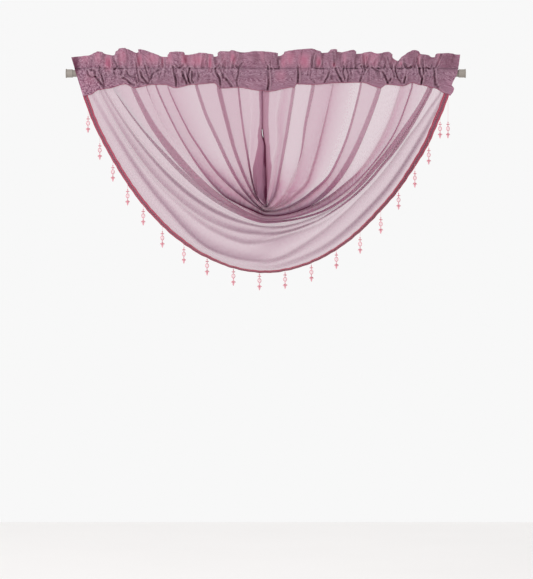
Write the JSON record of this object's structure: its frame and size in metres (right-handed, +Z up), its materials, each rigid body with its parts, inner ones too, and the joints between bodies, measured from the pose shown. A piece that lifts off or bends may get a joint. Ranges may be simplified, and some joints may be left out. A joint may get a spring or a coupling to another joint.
{
  "type": "festoon valance with rod",
  "caption": "Sheer festoon valance on a slim tension rod: ruffled heading, slit panel draped in U folds, woven braid and bead drops along the curved hem.",
  "frame": {"origin": "middle of the left foot's flat end face, on the rod's axis", "axes": "+X along the rod to the right foot, +Z up, the front faces -Y"},
  "size_m": [0.92, 0.0455, 0.5585],
  "materials": {
    "painted_steel": "pale warm grey enamel on drawn steel tube",
    "foot_plastic": "pale moulded plastic",
    "heading_cloth": "two gathered layers of rose voile",
    "sheer_cloth": "see-through rose voile",
    "braid_weave": "woven tape with red edges",
    "bead_glass": "clear pink beads on thread"
  },
  "bodies": {
    "root": {"rod": "painted_steel", "left_foot": "foot_plastic", "right_foot": "foot_plastic", "heading": "heading_cloth", "swag": "sheer_cloth", "braid": "braid_weave", "drop_01": "bead_glass", "drop_02": "bead_glass", "drop_03": "bead_glass", "drop_04": "bead_glass", "drop_05": "bead_glass", "drop_06": "bead_glass", "drop_07": "bead_glass", "drop_08": "bead_glass", "drop_09": "bead_glass", "drop_10": "bead_glass", "drop_11": "bead_glass", "drop_12": "bead_glass", "drop_13": "bead_glass", "drop_14": "bead_glass", "drop_15": "bead_glass", "drop_16": "bead_glass", "drop_17": "bead_glass", "drop_18": "bead_glass", "drop_19": "bead_glass", "drop_20": "bead_glass"}
  },
  "joints": []
}
